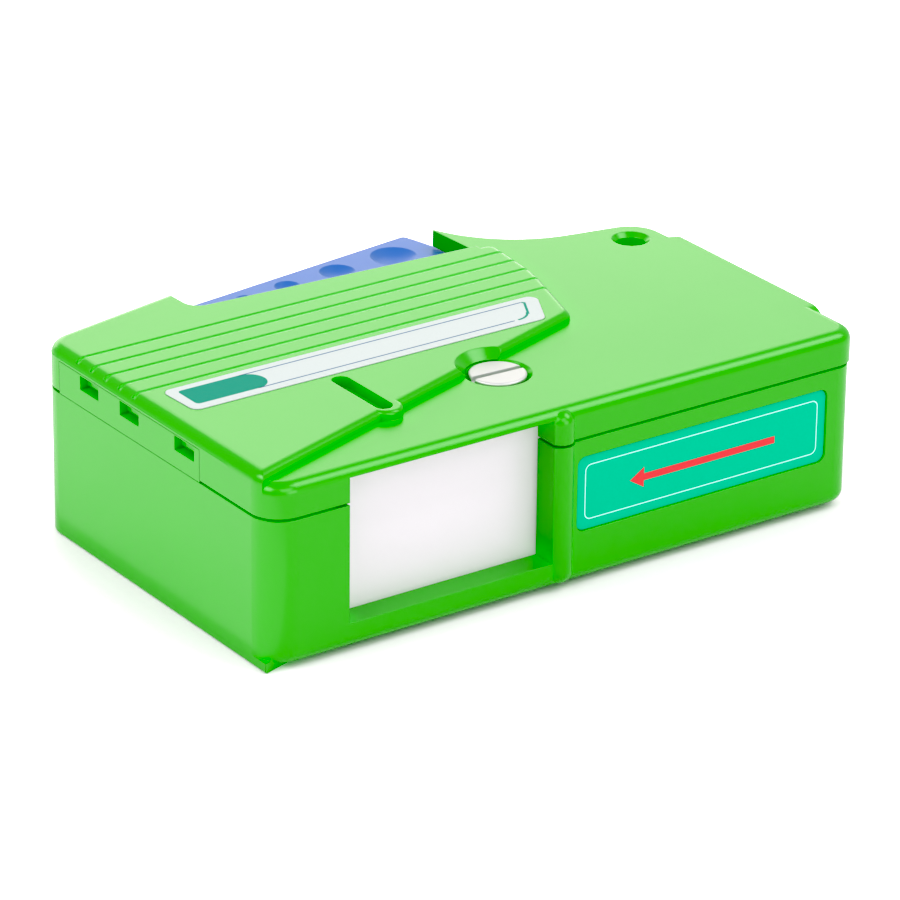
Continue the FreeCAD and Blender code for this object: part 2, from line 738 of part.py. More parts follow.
def build_sector_gear():
    teeth = 2 * sector_r / module
    toward = math.degrees(math.atan2(gear_y - pivot_y, gear_x - pivot_x))
    z0 = gear_z + gear_thick + 0.4
    z1 = z0 + sector_thick
    root, solids = gear_teeth(teeth, module, z0, z1, pivot_x, pivot_y, toward,
                              (toward - 4.5, toward + lever_travel + 4.5))
    a0 = math.radians(toward - 5.2)
    a1 = math.radians(toward + lever_travel + 5.2)
    far = sector_r * 1.3
    wedge = Part.Face(Part.makePolygon([
        V(pivot_x, pivot_y, z0),
        V(pivot_x + far * math.cos(a0), pivot_y + far * math.sin(a0), z0),
        V(pivot_x + far * math.cos(a1), pivot_y + far * math.sin(a1), z0),
        V(pivot_x, pivot_y, z0)])).extrude(V(0, 0, z1 - z0))
    web = rod(root, pivot_x, pivot_y, z0, z1).common(wedge)
    mid = (a0 + a1) / 2
    hole_at = sector_r * 0.62
    web = web.cut(rod(sector_hole_r, pivot_x + hole_at * math.cos(mid), pivot_y + hole_at * math.sin(mid),
                      z0 - 1, z1 + 1))
    hub_top = gear_z + pinion_height + 1.7
    hub = rod(lever_boss_r, pivot_x, pivot_y, gear_z, hub_top)
    key = box(-2.0, 2.0, -lever_boss_r + 0.4, -lever_pin_r - 1.0, hub_top - 0.5, hub_top + 1.5)
    key = lever_place(key)
    sector = fuse([web, hub, key] + solids)
    return sector.cut(rod(lever_pin_r + pin_clear, pivot_x, pivot_y, 0, hub_top + 2))


def build_shutter_gear():
    toward = math.degrees(math.atan2(pivot_y - gear_y, pivot_x - gear_x))
    z1 = gear_z + gear_thick
    z2 = z1 + pinion_height
    root, teeth = gear_teeth(wheel_teeth, module, gear_z, z1, gear_x, gear_y, -90.0)
    wheel = fuse([rod(root, gear_x, gear_y, gear_z, z1)] + teeth)
    ring_r = (wheel_r + pinion_r) / 2
    hole_r = (wheel_r - pinion_r) / 2 - gear_web
    for k in range(5):
        a = math.radians(72 * k + 20)
        wheel = wheel.cut(rod(hole_r, gear_x + ring_r * math.cos(a), gear_y + ring_r * math.sin(a),
                              0, z1 + 1))
    half = 180.0 / pinion_teeth
    root, teeth = gear_teeth(pinion_teeth, module, z1 - 0.2, z2, gear_x, gear_y, toward + half,
                             None, 1.5)
    pinion = fuse([rod(root, gear_x, gear_y, z1 - 0.2, z2)] + teeth)
    gear = wheel.fuse(pinion)
    return gear.cut(rod(gear_pin_r + pin_clear, gear_x, gear_y, 0, z2 + 1)).removeSplitter()


def build_shutter():
    x0 = window_x0 - shutter_overlap
    x1 = window_x1 + shutter_overlap
    plate_ = box(x0, x1, shutter_front, shutter_back, shutter_z0, under_plate - shutter_top_clear)
    travel = shutter_travel()
    pitch = math.pi * module
    bar_x1 = gear_x + 3.5 * pitch
    bar_x0 = gear_x - travel - 1.3 * pitch
    z1 = gear_z + gear_thick
    bar = box(bar_x0, bar_x1, shutter_front, shutter_back + rack_bar, shutter_z0, z1)
    lean = math.tan(math.radians(20))
    half = math.pi * module / 4 - tooth_backlash / 2
    root = shutter_back + rack_bar
    teeth = []
    k = -int((gear_x - bar_x0) / pitch)
    while gear_x + (k + 0.5) * pitch + half < bar_x1:
        x = gear_x + (k + 0.5) * pitch
        base = half + 1.25 * module * lean
        top = half - module * lean
        tip = root + 2.25 * module
        if x - base > bar_x0:
            pts = [V(x - base, root - 0.3, shutter_z0), V(x - base, root, shutter_z0),
                   V(x - top, tip, shutter_z0), V(x + top, tip, shutter_z0),
                   V(x + base, root, shutter_z0), V(x + base, root - 0.3, shutter_z0)]
            tooth = Part.Face(Part.makePolygon(pts + [pts[0]])).extrude(V(0, 0, z1 - shutter_z0))
            teeth.append(tooth)
        k += 1
    return fuse([plate_, bar] + teeth)


def shutter_travel():
    return math.radians(lever_travel) * sector_r / pinion_r * wheel_r


# ---- deck and tape transport ----
def lever_clear_line(x):
    """Y that the inner edge of the fully pressed lever reaches at x."""
    taper = math.atan2(lever_inner_end - lever_inner, lever_reach - lever_heel)
    a = math.radians(lever_angle - lever_travel)
    heel = V(lever_heel, lever_inner, 0)
    heel_x = pivot_x + heel.x * math.cos(a) - heel.y * math.sin(a)
    heel_y = pivot_y + heel.x * math.sin(a) + heel.y * math.cos(a)
    return heel_y + math.tan(a + taper) * (x - heel_x)


def build_deck_plate():
    left = left_end + wall + 0.3
    right = right_end - wall - skirt_step - 0.3
    free_x = pivot_x + lever_reach - 1.0
    heel_x = pivot_x + lever_heel
    y0 = mask_front - 0.1
    body = prism([
        (left, y0, 1.5),
        (right, y0, 1.5),
        (right, deck_back, 1.5),
        (free_x + 4.0, deck_back, 1.0),
        (free_x + 4.0, lever_clear_line(free_x) - 1.0, 1.0),
        (free_x, lever_clear_line(free_x) - 1.0, 1.0),
        (heel_x, lever_clear_line(heel_x) - 1.0, 0.5),
        (left, pivot_y - 2.0, 1.5),
    ], deck_z, deck_top)
    body = body.cut(rod(lever_boss_r + 0.8, pivot_x, pivot_y, deck_z - 1, deck_top + 1))
    # backing wall for the pad, and the boss that takes the cover screw
    pad_y = web_back + pad_thick + 0.1
    body = body.fuse(box(mask_x0 + backing_in, mask_x1 - backing_in,
                         pad_y, pad_y + backing_thick, deck_top - 0.2, reel_top))
    boss_top = screw_boss_top
    body = body.fuse(rod(boss_r, screw_x, screw_y, deck_top - 0.2, boss_top))
    body = body.cut(rod(insert_r, screw_x, screw_y, boss_top - insert_length, boss_top + 1))
    body = body.cut(rod(screw_r + 0.2, screw_x, screw_y, boss_top - insert_length - 5, boss_top))
    # end posts hold the mask plate
    for x in (mask_x0 - channel, mask_x1):
        body = body.fuse(box(x, x + channel, mask_front - 0.1, mask_front + mask_thick + 0.05,
                             deck_top - 0.2, deck_top + 4.0))
    for x, y, r in ((take_up_x, take_up_y, spindle_r), (supply_x, supply_y, spindle_r),
                    (left_roller_x, roller_y, roller_pin_r), (right_roller_x, roller_y, roller_pin_r),
                    (gear_x, gear_y, gear_pin_r)):
        body = body.cut(rod(r, x, y, deck_z - 1, deck_top + 0.2))
    for x, y in deck_posts:
        body = body.cut(rod(deck_screw_r + 0.1, x, y, deck_z - 1, deck_top + 1))
    return body.removeSplitter()


def build_mask_plate():
    body = box(mask_x0, mask_x1, mask_front, mask_front + mask_thick, deck_top, tape_top + 0.6)
    mid = (window_x0 + window_x1) / 2
    r = slot_height / 2
    for z in (tape_z + tape_width * 0.25, tape_z + tape_width * 0.75):
        run = slot_length / 2 - r
        cut = box(mid - run, mid + run, mask_front - 1, mask_front + 2, z - r, z + r)
        for x in (mid - run, mid + run):
            end = Part.makeCylinder(r, 3, V(x, mask_front - 1, z), V(0, 1, 0))
            cut = cut.fuse(end)
        body = body.cut(cut)
    return body.removeSplitter()


def build_backing_pad():
    y0 = web_back + 0.1
    return prism([
        (mask_x0 + pad_in, y0, 0.6),
        (mask_x1 - pad_in, y0, 0.6),
        (mask_x1 - pad_in, y0 + pad_thick, 0),
        (mask_x0 + pad_in, y0 + pad_thick, 0),
    ], tape_z - 0.3, tape_top - 0.2)


def build_ratchet():
    """Saw-toothed wheel with a three-lobed drive hub that enters the take-up reel."""
    step = 2 * math.pi / ratchet_teeth
    pts = []
    for k in range(ratchet_teeth):
        a = k * step
        pts.append(V(ratchet_r * math.cos(a), ratchet_r * math.sin(a), ratchet_z))
        low = ratchet_r - 1.1
        pts.append(V(low * math.cos(a + 0.08), low * math.sin(a + 0.08), ratchet_z))
    wheel = Part.Face(Part.makePolygon(pts + [pts[0]])).extrude(V(0, 0, ratchet_thick))
    hub = rod(spindle_r + 1.4, 0, 0, ratchet_z, flange_z - 4.0)
    parts = [wheel, hub]
    for k in range(3):
        key = box(0, spindle_r + 2.4, -0.7, 0.7, ratchet_z, flange_z - 4.0)
        key.rotate(V(0, 0, 0), V(0, 0, 1), 120 * k)
        parts.append(key)
    body = fuse(parts)
    body = body.cut(rod(spindle_r + pin_clear, 0, 0, 0, reel_top + 5))
    body.translate(V(take_up_x, take_up_y, 0))
    return body


def spool(x, y, keyed):
    """Reel for the tape: a hub between two flanges, the upper one with windows."""
    body = rod(hub_r, x, y, reel_z, reel_top)
    low = rod(reel_r, x, y, reel_z + 0.02, reel_z + flange)
    high = rod(reel_r, x, y, flange_z, reel_top)
    ring_r = (reel_r + hub_r) / 2
    hole_r = (reel_r - hub_r) / 2 - flange_web
    for k in range(5):
        a = math.radians(72 * k)
        high = high.cut(rod(hole_r, x + ring_r * math.cos(a), y + ring_r * math.sin(a),
                            flange_z - 1, reel_top + 1))
    body = body.fuse(low).fuse(high)
    if keyed:
        room = rod(spindle_r + 1.5, x, y, reel_z - 1, flange_z - 3.8)
        for k in range(3):
            key = box(x, x + spindle_r + 2.5, y - 0.8, y + 0.8, reel_z - 1, flange_z - 3.8)
            room = room.fuse(turned(key, 120 * k, x, y))
        body = body.cut(room)
    return body.cut(rod(spindle_r + pin_clear, x, y, 0, reel_top + 5)).removeSplitter()


def roll(x, y, r):
    return tube(r, hub_r, x, y, tape_z, tape_top)


def tangent(c0, r0, c1, r1):
    """Points where a belt on the left-hand side of the run c0 to c1 leaves both circles."""
    dx = c1[0] - c0[0]
    dy = c1[1] - c0[1]
    dist = math.hypot(dx, dy)
    base = math.atan2(dy, dx)
    lean = math.acos((r0 - r1) / dist)
    a = base + lean
    return ((c0[0] + r0 * math.cos(a), c0[1] + r0 * math.sin(a)),
            (c1[0] + r1 * math.cos(a), c1[1] + r1 * math.sin(a)), a)


def build_tape_web():
    """Tape from the supply roll, past the front of both rollers, to the take-up roll."""
    r = roller_r + web_clear + web_thick / 2
    near = 0.3 + web_thick / 2
    right = (right_roller_x, roller_y)
    left = (left_roller_x, roller_y)
    supply = (supply_x, supply_y)
    take_up = (take_up_x, take_up_y)
    p0, p1, a_in = tangent(supply, supply_roll_r + near, right, r)
    q0, q1, a_out = tangent(left, r, take_up, take_up_roll_r + near)
    front_y = roller_y - r

    def strip(a, b):
        d = V(b[0] - a[0], b[1] - a[1], 0)
        n = V(-d.y, d.x, 0).normalize() * (web_thick / 2)
        pts = [V(a[0], a[1], tape_z) + n, V(b[0], b[1], tape_z) + n,
               V(b[0], b[1], tape_z) - n, V(a[0], a[1], tape_z) - n]
        return Part.Face(Part.makePolygon(pts + [pts[0]])).extrude(V(0, 0, tape_width))

    def bend(c, a0, a1):
        ring = tube(r + web_thick / 2, r - web_thick / 2, c[0], c[1], tape_z, tape_top)
        far = 20.0
        pts = [V(c[0], c[1], tape_z)]
        for k in range(5):
            a = math.radians(a0 + (a1 - a0) * k / 4)
            pts.append(V(c[0] + far * math.cos(a), c[1] + far * math.sin(a), tape_z))
        wedge = Part.Face(Part.makePolygon(pts + [pts[0]])).extrude(V(0, 0, tape_width))
        return ring.common(wedge)

    parts = [strip(p0, p1), strip((right[0], front_y), (left[0], front_y)), strip(q0, q1)]
    turn = sorted([math.degrees(a_in) % 360, 270.0])
    parts.append(bend(right, turn[0], turn[1]))
    parts.append(bend(left, math.degrees(a_out) % 360, 270.0))
    return fuse(parts)


def build_guide_roller(x):
    body = rod(roller_r, x, roller_y, tape_z - 0.6, tape_top + 0.6)
    body = body.fuse(rod(roller_r - 0.6, x, roller_y, deck_top + 0.3, tape_top + 0.9))
    return body.cut(rod(roller_pin_r + pin_clear, x, roller_y, 0, reel_top + 5)).removeSplitter()


def pin(r, x, y, z0, z1):
    body = rod(r, x, y, z0, z1)
    return body.makeChamfer(0.25, [e for e in body.Edges if at_height(e, z1)])


def build_pawl():
    """Springy finger on the lever: leans against the ratchet and pushes it round."""
    c = (take_up_x, take_up_y)
    a = math.radians(22)
    tip = (c[0] + (ratchet_r + 0.35) * math.cos(a), c[1] + (ratchet_r + 0.35) * math.sin(a))
    z0 = ratchet_z + 0.1
    z1 = ratchet_z + ratchet_thick
    root = lever_place(Part.Vertex(rib_u[0] + rib_thick / 2, 0, 0)).Point
    finger = prism([
        (tip[0], tip[1], 0.2),
        (tip[0] + 1.3, tip[1] - 0.2, 0.2),
        (root.x + 0.6, root.y, 0),
        (root.x - 0.6, root.y, 0),
    ], z0, z1)
    blade = prism([
        (lever_heel, lever_inner, 0),
        (lever_reach, lever_inner_end, 0),
        (lever_reach, lever_outer, 0),
        (lever_heel, lever_outer, 0),
    ], z0 - 1, z1 + 1)
    return finger.cut(lever_place(blade))


def build_holding_pawl():
    """Leaf on the deck that stops the ratchet from turning back."""
    c = (take_up_x, take_up_y)
    a = math.radians(200)
    tip = (c[0] + (ratchet_r + 0.3) * math.cos(a), c[1] + (ratchet_r + 0.3) * math.sin(a))
    foot = rod(2.0, tip[0] - pawl_run, tip[1] + pawl_rise, deck_top, ratchet_z + ratchet_thick)
    leaf = prism([
        (tip[0], tip[1], 0.1),
        (tip[0] - pawl_run + 0.6, tip[1] + pawl_rise + 0.5, 0),
        (tip[0] - pawl_run - 0.3, tip[1] + pawl_rise, 0),
        (tip[0] - 0.9, tip[1] - 0.3, 0.1),
    ], ratchet_z + 0.1, ratchet_z + ratchet_thick - 0.1)
    return foot.fuse(leaf).removeSplitter()


def build_drag_spring():
    """Leaf that rubs on the supply reel so that the tape stays taut."""
    y = supply_y + reel_r + 0.15
    root_x = supply_x + drag_reach
    foot = box(root_x, root_x + drag_foot, y, y + 3.0, deck_top, reel_z + 2.0)
    leaf = prism([
        (supply_x - drag_tip, y, 0.1),
        (root_x + 0.2, y, 0),
        (root_x + 0.2, y + 0.5, 0),
        (supply_x - drag_tip, y + 0.5, 0.1),
    ], reel_z - 0.6, reel_z + 1.6)
    return foot.fuse(leaf).removeSplitter()


def build_lever_spring():
    """Torsion spring round the pin: one wire along leg, coil and leg, all tangent."""
    coil_r = lever_pin_r + 1.6
    helix = Part.makeHelix(spring_pitch, spring_pitch * spring_turns, coil_r).Edges[0]
    first = helix.valueAt(helix.FirstParameter)
    last = helix.valueAt(helix.LastParameter)
    run = V(0, 1, spring_pitch / (2 * math.pi * coil_r)).normalize()
    start = first - run * spring_foot
    path = Part.Wire([Part.LineSegment(start, first).toShape(), helix,
                      Part.LineSegment(last, last + run * spring_leg).toShape()])
    ring = Part.Wire(Part.makeCircle(spring_wire, start, run))
    body = path.makePipeShell([ring], True, False)
    body.rotate(V(0, 0, 0), V(0, 0, 1), 180)
    body.translate(V(pivot_x, pivot_y, spring_z + spring_wire + 0.5))
    return body


def build_cover_screw():
    seat = cover_top - screw_head
    head = rod(screw_head_r, screw_x, screw_y, seat + 0.02, cover_top + 0.1)
    head = round_edges(head, 0.4, lambda e: at_height(e, cover_top + 0.1))
    shank = rod(screw_r, screw_x, screw_y, screw_boss_top - insert_length + 0.5, seat + 0.5)
    body = head.fuse(shank)
    slot = box(-screw_head_r - 1, screw_head_r + 1, -screw_slot / 2, screw_slot / 2,
               cover_top + 0.1 - screw_slot_deep, cover_top + 2)
    slot.rotate(V(0, 0, 0), V(0, 0, 1), screw_slot_turn)
    slot.translate(V(screw_x, screw_y, 0))
    return body.cut(slot).removeSplitter()


def build_insert():
    return tube(insert_r, screw_r + 0.05, screw_x, screw_y,
                screw_boss_top - insert_length, screw_boss_top)


def build_deck_screws():
    screws = []
    for x, y in deck_posts:
        head = cone(1.9, 1.5, x, y, deck_top + 0.02, deck_top + 1.2)
        cross = box(x - 1.0, x + 1.0, y - 0.22, y + 0.22, deck_top + 0.6, deck_top + 2)
        cross = cross.fuse(turned(box(x - 1.0, x + 1.0, y - 0.22, y + 0.22, deck_top + 0.6,
                                      deck_top + 2), 90, x, y))
        screws.append(head.fuse(rod(deck_screw_r, x, y, floor_top + 1.0, deck_top + 0.5)).cut(cross))
    return Part.Compound(screws)


save("lower_case", build_lower_case())
save("top_cover", build_top_cover())
save("hook_rail", build_hook_rail())
save("side_label", build_side_label())
save("top_label", top_label_solid(field_top - label_sink, field_top - label_sink + label_thick))
save("cover_screw", build_cover_screw())
save("screw_insert", build_insert())
save("lever", build_lever())
save("lever_pin", rod(lever_pin_r, pivot_x, pivot_y, foot_step, field_top - 1.5))
save("lever_spring", build_lever_spring())
save("sector_gear", build_sector_gear())
save("shutter_gear", build_shutter_gear())
save("gear_pin", pin(gear_pin_r, gear_x, gear_y, foot_step, deck_top))
save("shutter", build_shutter())
save("deck_plate", build_deck_plate())
save("deck_screws", build_deck_screws())
save("mask_plate", build_mask_plate())
save("backing_pad", build_backing_pad())
save("guide_roller_left", build_guide_roller(left_roller_x))
save("guide_roller_right", build_guide_roller(right_roller_x))
save("roller_pins", Part.Compound([pin(roller_pin_r, x, roller_y, deck_z, tape_top + 1.4)
                                   for x in (left_roller_x, right_roller_x)]))
save("take_up_spindle", pin(spindle_r, take_up_x, take_up_y, deck_z, reel_top + 1.0))
save("supply_spindle", pin(spindle_r, supply_x, supply_y, deck_z, reel_top + 1.0))
save("drive_ratchet", build_ratchet())
save("take_up_reel", spool(take_up_x, take_up_y, True))
save("take_up_roll", roll(take_up_x, take_up_y, take_up_roll_r))
save("supply_reel", spool(supply_x, supply_y, False))
save("supply_roll", roll(supply_x, supply_y, supply_roll_r))
save("tape_web", build_tape_web())
save("feed_pawl", build_pawl())
save("holding_pawl", build_holding_pawl())
save("drag_spring", build_drag_spring())
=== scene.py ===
import bpy
import math
import numpy as np
from mathutils import Matrix, Vector


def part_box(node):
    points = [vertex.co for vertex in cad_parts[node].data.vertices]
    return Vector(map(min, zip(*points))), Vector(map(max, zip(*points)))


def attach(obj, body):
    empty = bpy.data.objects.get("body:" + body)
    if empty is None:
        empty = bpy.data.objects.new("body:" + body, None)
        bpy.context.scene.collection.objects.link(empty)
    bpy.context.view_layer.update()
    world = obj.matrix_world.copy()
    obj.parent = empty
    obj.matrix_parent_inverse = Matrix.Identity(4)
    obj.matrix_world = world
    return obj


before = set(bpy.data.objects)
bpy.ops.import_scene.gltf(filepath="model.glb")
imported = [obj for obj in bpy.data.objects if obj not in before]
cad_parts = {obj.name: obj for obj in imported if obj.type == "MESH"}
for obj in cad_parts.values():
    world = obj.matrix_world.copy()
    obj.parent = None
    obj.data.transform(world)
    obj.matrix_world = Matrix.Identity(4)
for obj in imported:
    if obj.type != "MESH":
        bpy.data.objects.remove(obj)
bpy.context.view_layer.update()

# ---- camera ----
# A long lens held a little above the near left corner, so that edges stay almost
# parallel.  Its roll is the slight tilt of a hand-levelled head.
view_azimuth = math.radians(-35.28)
view_height = math.radians(24.08)
view_roll = math.radians(0.669)
view_distance = 0.8744
view_target = Vector((0.0210, 0.0299, -0.00518))
back = Vector((math.sin(view_azimuth) * math.cos(view_height),
               -math.cos(view_azimuth) * math.cos(view_height),
               math.sin(view_height)))
right = (-back).cross(Vector((0, 0, 1))).normalized()
up = right.cross(-back)
right, up = (right * math.cos(view_roll) + up * math.sin(view_roll),
             up * math.cos(view_roll) - right * math.sin(view_roll))
lens = bpy.data.cameras.new("camera")
lens.lens = 205.05
lens.sensor_width = 36.0
lens.clip_start = 0.05
lens.clip_end = 20.0
camera = bpy.data.objects.new("camera", lens)
camera.matrix_world = Matrix.Translation(view_target + back * view_distance) @ Matrix(
    (right, up, back)).transposed().to_4x4()
bpy.context.scene.collection.objects.link(camera)
bpy.context.scene.camera = camera
# A raised black level in red and blue takes the grey out of shaded green.
view = bpy.context.scene.view_settings
view.view_transform = "Standard"
view.use_curve_mapping = True
view.curve_mapping.black_level = (0.08, 0.01, 0.08)
view.curve_mapping.update()


# ---- floor ----
# A sheet of matt white card.  The camera alone also sees it glow white, more where it
# sees more of the room out to 30 mm, so that it burns out to plain white; near the object
# the glow fades, which paints a soft shadow there over the card's own real shade.  It
# leans a little to pink, against the green that the object throws on it.
def linear(code):
    """sRGB hex colour as linear red, green, blue and alpha 1.

    Each channel c is c / 12.92 up to 0.04045 and ((c + 0.055) / 1.055) ^ 2.4 above."""
    part = [int(code[i:i + 2], 16) / 255 for i in (1, 3, 5)]
    return [c / 12.92 if c <= 0.04045 else ((c + 0.055) / 1.055) ** 2.4 for c in part] + [1.0]


def add(tree, kind, settings=None, links=None):
    """One shader node.  A lower-case key in settings is a field of the node, any other
    an input's value.  links maps an input to the (node, output) that feeds it."""
    node = tree.nodes.new("ShaderNode" + kind)
    for key, value in (settings or {}).items():
        if isinstance(key, str) and key[0].islower():
            setattr(node, key, value)
        else:
            node.inputs[key].default_value = value
    for key, (source, output) in (links or {}).items():
        tree.links.new(source.outputs[output], node.inputs[key])
    return node


def new_material(name, **surface):
    """A material with a Principled shader whose sockets are set from surface, where
    an underscore stands for a blank.  Returns the material, its tree and the shader."""
    made = bpy.data.materials.new(name)
    made.use_nodes = True
    shader = made.node_tree.nodes["Principled BSDF"]
    for key, value in surface.items():
        shader.inputs[key.replace("_", " ")].default_value = value
    return made, made.node_tree, shader


card, tree, shader = new_material("matt white card", Roughness=0.7, Emission_Color=(1, 1, 1, 1))
where = add(tree, "TexCoord")
paper_tooth = 0.0012
shadow_reach = 0.03
tooth = add(tree, "TexNoise", {"Scale": 1 / paper_tooth, "Detail": 3.0}, {"Vector": (where, "Object")})
tint = add(tree, "Mix", {"data_type": "RGBA", 6: (0.90, 0.84, 0.90, 1), 7: (0.93, 0.87, 0.93, 1)},
           {0: (tooth, "Fac")})
tree.links.new(tint.outputs[2], shader.inputs["Base Color"])
paper_bump = add(tree, "Bump", {"Strength": 0.2, "Distance": 0.00002}, {"Height": (tooth, "Fac")})
tree.links.new(paper_bump.outputs["Normal"], shader.inputs["Normal"])
# A glow for the camera only, fading where the object hides the room: a painted contact shadow.
open_sky = add(tree, "AmbientOcclusion", {"samples": 16, "Distance": shadow_reach})
painted_shadow_glow = add(tree, "MapRange", {"From Min": 0.66, "From Max": 0.98}, {"Value": (open_sky, "AO")})
ray = add(tree, "LightPath")
glow = add(tree, "Math", {"operation": "MULTIPLY"}, {0: (painted_shadow_glow, "Result"), 1: (ray, "Is Camera Ray")})
tree.links.new(glow.outputs[0], shader.inputs["Emission Strength"])

floor_half = 6.0
floor_mesh = bpy.data.meshes.new("floor")
floor_mesh.from_pydata([(-floor_half, -floor_half, 0), (floor_half, -floor_half, 0),
                        (floor_half, floor_half, 0), (-floor_half, floor_half, 0)], [], [(0, 1, 2, 3)])
floor_mesh.materials.append(card)
floor = bpy.data.objects.new("floor", floor_mesh)
bpy.context.scene.collection.objects.link(floor)


# ---- studio light ----
# Large diffusers in a pale room: a long bank at the left and a key at the right shade the
# form, warm cards behind make the top pale, and a card on the floor lightens the left
# end.  Nothing stands at the left rear, so the rounded edges stay deep in colour.
def softbox(name, place, aim, width, height, radiance, colour=(1, 1, 1)):
    """A rectangular light at place facing aim.  Its power is radiance times pi times area."""
    lamp = bpy.data.lights.new(name, "AREA")
    lamp.color = colour
    lamp.shape = "RECTANGLE"
    lamp.size = width
    lamp.size_y = height
    lamp.energy = radiance * math.pi * width * height
    holder = bpy.data.objects.new(name, lamp)
    holder.matrix_world = Matrix.Translation(place) @ (
        Vector(aim) - Vector(place)).to_track_quat("-Z", "Y").to_matrix().to_4x4()
    holder.visible_camera = False
    bpy.context.scene.collection.objects.link(holder)


def bank(name, azimuth, height, width, depth, radiance, colour=(1, 1, 1)):
    """A softbox one metre from the object, azimuth degrees clockwise from the rear."""
    a, h = math.radians(azimuth), math.radians(height)
    place = (math.sin(a) * math.cos(h), math.cos(a) * math.cos(h), math.sin(h))
    softbox(name, place, (0, 0, 0.01), width, depth, radiance, colour)


bank("left bank", 272, 42, 0.9, 0.42, 4.4)
warm = (1, 0.99, 0.86)
softbox("floor card", (-0.125, 0.02, 0.001), (-0.125, 0.02, 1), 0.13, 0.2, 0.5)
bank("key", 124, 50, 0.5, 0.55, 3.9)
bank("front low", 172, 13, 0.55, 0.35, 2.6)
bank("front", 188, 38, 0.6, 0.4, 2.2)
bank("rear card", 18, 13, 1.1, 0.42, 1.95, warm)
bank("rear upper", 32, 36, 0.6, 0.34, 1.6, warm)

world = bpy.data.worlds.new("studio")
world.use_nodes = True
bpy.context.scene.world = world
tree = world.node_tree
room = tree.nodes["Background"]
room.inputs["Color"].default_value = (0.9, 0.9, 0.9, 1)
seen = add(tree, "Background", {"Color": (1, 1, 1, 1)})
ray = add(tree, "LightPath")
either = add(tree, "MixShader", None, {0: (ray, "Is Camera Ray"), 1: (room, 0), 2: (seen, 0)})
tree.links.new(either.outputs[0], tree.nodes["World Output"].inputs["Surface"])


# ---- housing: case, cover and hook rail ----
# Two injection mouldings in glossy green ABS, with a snap-in rail at the left end.  The
# tool's polish leaves a faint orange peel and the pigment flows in slow bands, and the
# edges that the tool can't make sharp catch a thin line of light.
def moulded(name, colour, roughness, drift=0.04, peel=0.0000015, grain=0.0000004, edge=0.00025,
            painted_hollow_glow=0.0, **more):
    """Injection-moulded plastic.

    Colour drifts by plus and minus drift along slow flow noise 25 mm across, roughness
    by a tenth with it; the surface rises by peel over 2.5 mm and by grain over 0.12 mm,
    on normals rounded over edge.  The argument after edge is a glow painted into hollows
    to lift their shade: it grows as the open part of the half sphere, seen out to 4 mm,
    falls from 1 to 0.6, and dies again in narrow gaps, from 0.6 to 0.35."""
    made, tree, shader = new_material(name, **more)
    where = add(tree, "TexCoord")
    flow = add(tree, "TexNoise", {"Scale": 1 / 0.025, "Detail": 2.0, "Distortion": 0.6},
               {"Vector": (where, "Object")})
    low = [c * (1 - drift) for c in colour[:3]] + [1]
    high = [c * (1 + drift) for c in colour[:3]] + [1]
    tint = add(tree, "Mix", {"data_type": "RGBA", 6: low, 7: high}, {0: (flow, "Fac")})
    tree.links.new(tint.outputs[2], shader.inputs["Base Color"])
    gloss = add(tree, "MapRange", {"To Min": roughness * 0.9, "To Max": roughness * 1.1},
                {"Value": (flow, "Fac")})
    tree.links.new(gloss.outputs["Result"], shader.inputs["Roughness"])
    rounded = add(tree, "Bevel", {"samples": 6, "Radius": edge})
    orange_peel = add(tree, "TexNoise", {"Scale": 1 / 0.0025, "Detail": 1.0},
                      {"Vector": (where, "Object")})
    skin = add(tree, "TexNoise", {"Scale": 1 / 0.00012, "Detail": 2.0}, {"Vector": (where, "Object")})
    waves = add(tree, "Bump", {"Strength": 1.0, "Distance": peel},
                {"Height": (orange_peel, "Fac"), "Normal": (rounded, "Normal")})
    fine = add(tree, "Bump", {"Strength": 1.0, "Distance": grain},
               {"Height": (skin, "Fac"), "Normal": (waves, "Normal")})
    tree.links.new(fine.outputs["Normal"], shader.inputs["Normal"])
    # A glow painted into hollows, which lifts their shade.
    if painted_hollow_glow:
        nook = add(tree, "AmbientOcclusion", {"samples": 8, "only_local": True, "Distance": 0.004})
        shallow = add(tree, "MapRange", {"From Min": 0.35, "From Max": 0.6}, {"Value": (nook, "AO")})
        hollow = add(tree, "MapRange", {"From Min": 1.0, "From Max": 0.6, "To Max": painted_hollow_glow},
                     {"Value": (nook, "AO")})
        through = add(tree, "Math", {"operation": "MULTIPLY"},
                      {0: (shallow, "Result"), 1: (hollow, "Result")})
        tree.links.new(through.outputs[0], shader.inputs["Emission Strength"])
    return made


def paint(finish, *nodes):
    """Gives the CAD nodes one material."""
    for node in nodes:
        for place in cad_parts[node].material_slots:
            place.material = finish


# The green carries a painted green glow in its hollows, which lifts their shade.
green_abs = moulded("glossy green ABS", (0.026, 0.315, 0.006), 0.23, painted_hollow_glow=0.2, IOR=1.6,
                    Emission_Color=(0.0, 1.0, 0.0, 1.0))
paint(green_abs, "lower_case", "top_cover", "hook_rail")


